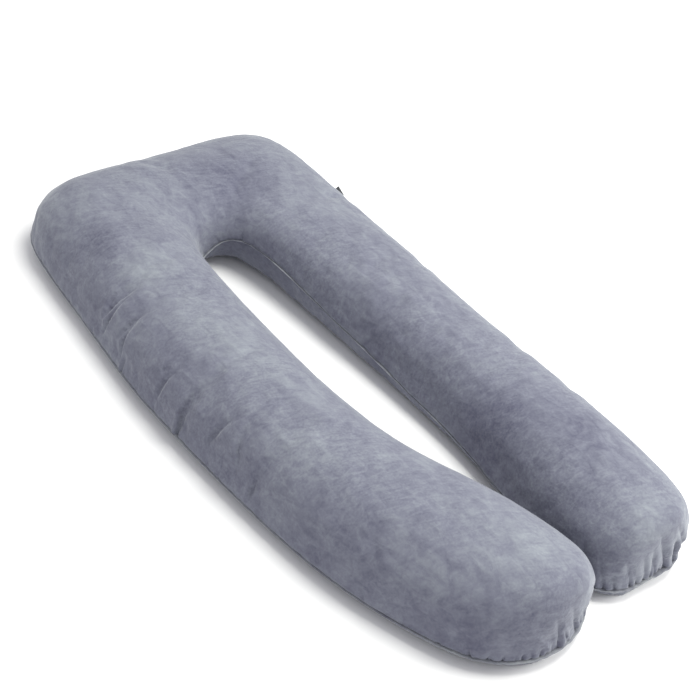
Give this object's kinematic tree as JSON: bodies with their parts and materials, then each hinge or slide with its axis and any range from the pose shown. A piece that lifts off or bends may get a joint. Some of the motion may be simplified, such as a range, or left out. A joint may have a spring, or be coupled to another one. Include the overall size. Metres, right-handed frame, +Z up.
{
  "type": "u-shaped body pillow",
  "caption": "U-shaped full-body and nursing pillow: a plump filled velvet cover whose two long arms run down either side of the body.",
  "frame": {"origin": "on the surface it rests on, under the middle of the whole pillow's box", "axes": "+Y along the arms towards the head end, +X across from the near arm to the far arm, +Z up out of the crown"},
  "size_m": [0.7429, 1.453, 0.1894],
  "materials": {
    "velvet": "short-pile velvet, matt with a soft sheen, brushed in uneven patches",
    "ribbon": "matt woven tape"
  },
  "bodies": {
    "root": {"pillow": "velvet", "ribbon_loop": "ribbon"}
  },
  "joints": []
}
